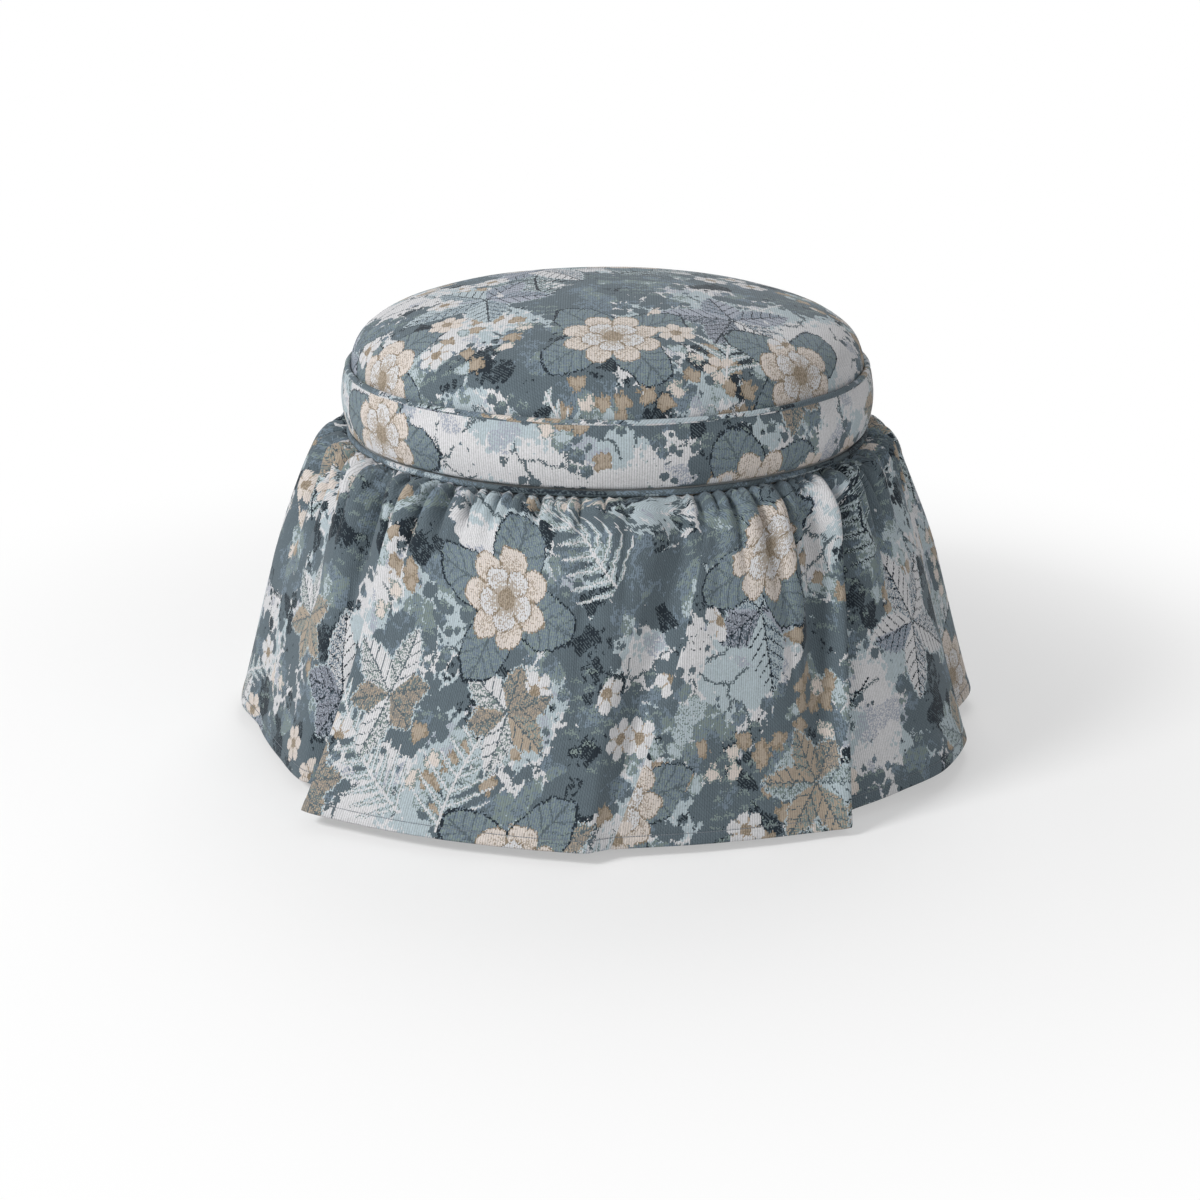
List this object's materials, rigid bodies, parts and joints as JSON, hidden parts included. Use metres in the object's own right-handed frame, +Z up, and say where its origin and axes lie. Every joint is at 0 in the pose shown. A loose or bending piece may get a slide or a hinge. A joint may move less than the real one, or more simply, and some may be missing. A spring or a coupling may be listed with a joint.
{
  "type": "storage ottoman",
  "caption": "Round upholstered ottoman with a crowned cushion, piped boxing band and gathered skirt; the padded lid lifts off a lined storage drum.",
  "frame": {"origin": "on the floor, under the middle of the drum", "axes": "+Z up, -Y towards the viewer of the picture, +X to the viewer's right"},
  "size_m": [0.7032, 0.693, 0.4121],
  "materials": {
    "tapestry": "ribbed jacquard weave in slate, sage, tan and cream",
    "lining_cloth": "plain weave, natural",
    "dust_cloth": "non-woven, matt",
    "cotton": "twisted or woven cotton",
    "card": "matt card",
    "foam": "open cell, matt",
    "wadding": "soft fibre",
    "plywood": "sanded, unfinished",
    "foot_wood": "dark stain, satin",
    "glide_plastic": "matt",
    "steel": "zinc plated"
  },
  "bodies": {
    "base": {"foot_1": "foot_wood", "foot_2": "foot_wood", "foot_3": "foot_wood", "foot_4": "foot_wood", "foot_glides": "glide_plastic", "foot_screws": "steel", "base_panel": "plywood", "bottom_hoop": "plywood", "top_hoop": "plywood", "upright_1": "plywood", "upright_2": "plywood", "upright_3": "plywood", "upright_4": "plywood", "frame_screws": "steel", "hoop_screws": "steel", "drum_wall": "plywood", "wall_joint_strip": "plywood", "liner_floor": "lining_cloth", "liner_wall": "lining_cloth", "rim_binding": "lining_cloth", "drum_cover": "lining_cloth", "dust_cover": "dust_cloth", "dust_cover_staples": "steel", "gathering_tape": "cotton", "tack_strip": "card", "skirt_staples": "steel", "skirt": "tapestry", "lower_welt_cover": "tapestry", "lower_welt_cord": "cotton"},
    "lid": {"lid_board": "plywood", "lid_lining": "lining_cloth", "locating_ring": "plywood", "locating_screws": "steel", "base_foam": "foam", "band_wadding": "wadding", "band_cover": "tapestry", "lid_staples": "steel", "upper_welt_cover": "tapestry", "upper_welt_cord": "cotton", "crown_foam": "foam", "crown_wadding": "wadding", "top_cover": "tapestry"}
  },
  "joints": [
    {"name": "lid_lift", "type": "slide", "parent": "base", "child": "lid", "axis": [0, 0, 1], "range_m": [0, 0.25]}
  ]
}
